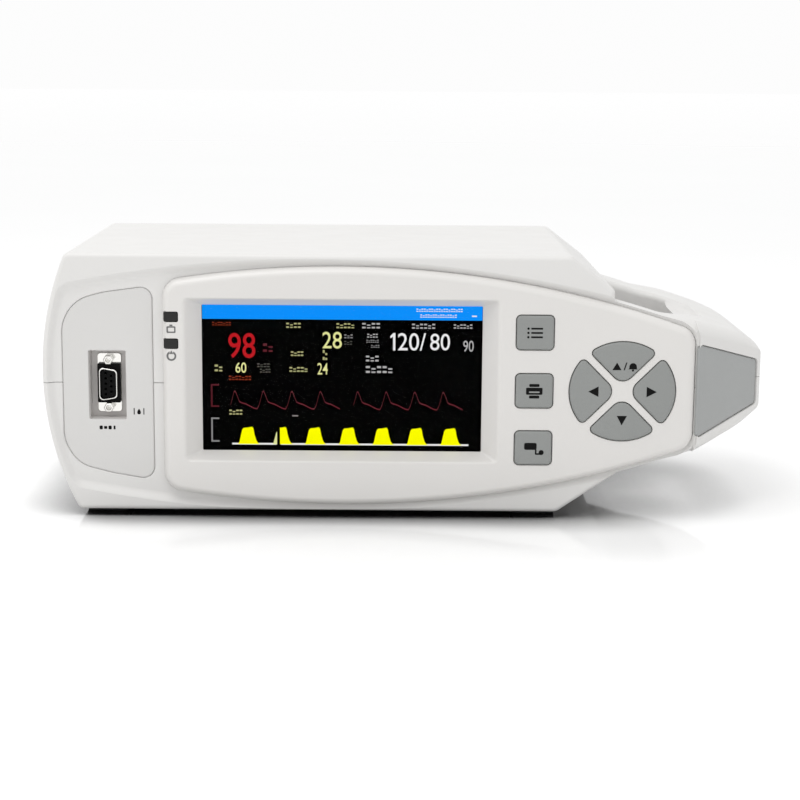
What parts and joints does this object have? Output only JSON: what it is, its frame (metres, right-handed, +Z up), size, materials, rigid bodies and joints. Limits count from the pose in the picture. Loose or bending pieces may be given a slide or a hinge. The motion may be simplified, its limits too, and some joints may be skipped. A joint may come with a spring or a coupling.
{
  "type": "patient monitor",
  "caption": "Table-top vital-signs monitor with a wide colour screen, push keys, sensor socket, side recorder and a carrying grip at one end.",
  "frame": {"origin": "middle of the bounding box at the height of the surface it stands on", "axes": "+X to the right along the length, +Y from the screen to the back, +Z up"},
  "size_m": [0.375, 0.1688, 0.137],
  "materials": {
    "case_plastic": "satin moulded",
    "bezel_plastic": "satin moulded",
    "key_rubber": "matt silicone",
    "grip_rubber": "fine matt texture",
    "screen_glass": "clear",
    "lcd": "display surface",
    "dark_plastic": "satin",
    "steel": "zinc plated",
    "circuit_board": "solder mask",
    "foot_rubber": "matt",
    "paper": "thermal paper",
    "battery_wrap": "shrink film",
    "brass": "machined",
    "tube_rubber": "silicone",
    "aluminium": "anodised"
  },
  "bodies": {
    "housing": {"air_tube": "tube_rubber", "battery_door": "case_plastic", "battery_door_screw": "steel", "battery_light": "dark_plastic", "battery_pack": "battery_wrap", "case_screw_1": "steel", "case_screw_2": "steel", "case_screw_3": "steel", "case_screw_4": "steel", "chassis": "steel", "co2_module": "aluminium", "co2_port": "tube_rubber", "data_port": "steel", "door_hinge_pin": "steel", "equipotential_post": "brass", "feed_motor": "steel", "foot_1": "foot_rubber", "foot_2": "foot_rubber", "foot_3": "foot_rubber", "foot_4": "foot_rubber", "front_bezel": "bezel_plastic", "grip_inset": "grip_rubber", "jackscrew_bottom": "steel", "jackscrew_top": "steel", "keypad_board": "circuit_board", "lcd_bracket": "steel", "lcd_panel": "lcd", "lower_case": "case_plastic", "main_board": "circuit_board", "mains_inlet": "dark_plastic", "mains_light": "dark_plastic", "nibp_port": "aluminium", "nibp_pump": "steel", "nibp_valve": "dark_plastic", "power_supply": "circuit_board", "print_head": "aluminium", "rear_panel": "aluminium", "recorder_frame": "dark_plastic", "screen_window": "screen_glass", "sensor_panel": "case_plastic", "speaker": "dark_plastic", "spo2_board": "circuit_board", "spo2_insert": "dark_plastic", "spo2_shell": "steel", "switch_housing": "dark_plastic", "upper_case": "case_plastic"},
    "menu_key": {"menu_key": "key_rubber"},
    "print_key": {"print_key": "key_rubber"},
    "nibp_key": {"nibp_key": "key_rubber"},
    "up_key": {"up_key": "key_rubber"},
    "down_key": {"down_key": "key_rubber"},
    "left_key": {"left_key": "key_rubber"},
    "right_key": {"right_key": "key_rubber"},
    "recorder_door": {"recorder_door": "case_plastic"},
    "platen": {"platen_roller": "foot_rubber", "platen_gear": "dark_plastic"},
    "pinion": {"motor_pinion": "brass"},
    "paper": {"paper_roll": "paper", "paper_spool": "dark_plastic"},
    "rocker": {"power_rocker": "dark_plastic"}
  },
  "joints": [
    {"name": "menu_key_press", "type": "slide", "parent": "housing", "child": "menu_key", "axis": [0, 1, 0], "range_m": [0, 0.0008], "stiffness_N_per_m": 600},
    {"name": "print_key_press", "type": "slide", "parent": "housing", "child": "print_key", "axis": [0, 1, 0], "range_m": [0, 0.0008], "stiffness_N_per_m": 600},
    {"name": "nibp_key_press", "type": "slide", "parent": "housing", "child": "nibp_key", "axis": [0, 1, 0], "range_m": [0, 0.0008], "stiffness_N_per_m": 600},
    {"name": "up_key_press", "type": "slide", "parent": "housing", "child": "up_key", "axis": [0, 1, 0], "range_m": [0, 0.0008], "stiffness_N_per_m": 600},
    {"name": "down_key_press", "type": "slide", "parent": "housing", "child": "down_key", "axis": [0, 1, 0], "range_m": [0, 0.0008], "stiffness_N_per_m": 600},
    {"name": "left_key_press", "type": "slide", "parent": "housing", "child": "left_key", "axis": [0, 1, 0], "range_m": [0, 0.0008], "stiffness_N_per_m": 600},
    {"name": "right_key_press", "type": "slide", "parent": "housing", "child": "right_key", "axis": [0, 1, 0], "range_m": [0, 0.0008], "stiffness_N_per_m": 600},
    {"name": "recorder_door_hinge", "type": "hinge", "parent": "housing", "child": "recorder_door", "pos_m": [-0.18162, 0.0164, 0.043], "axis": [0, -1, 0], "range_deg": [0, 88]},
    {"name": "platen_spin", "type": "hinge", "parent": "housing", "child": "platen", "pos_m": [-0.171, 0.0164, 0.091], "axis": [0, 1, 0], "continuous": true},
    {"name": "pinion_spin", "type": "hinge", "parent": "housing", "child": "pinion", "pos_m": [-0.16165, -0.0186, 0.0856], "axis": [0, 1, 0], "continuous": true},
    {"name": "paper_spin", "type": "hinge", "parent": "housing", "child": "paper", "pos_m": [-0.157, 0.0164, 0.067], "axis": [0, 1, 0], "continuous": true},
    {"name": "rocker_tilt", "type": "hinge", "parent": "housing", "child": "rocker", "pos_m": [0.026, 0.0806, 0.036], "axis": [-1, 0, 0], "range_deg": [0, 14]}
  ],
  "couplings": [
    {"joint": "pinion_spin", "follows": "platen_spin", "ratio": -2},
    {"joint": "paper_spin", "follows": "platen_spin", "ratio": -0.30303}
  ]
}
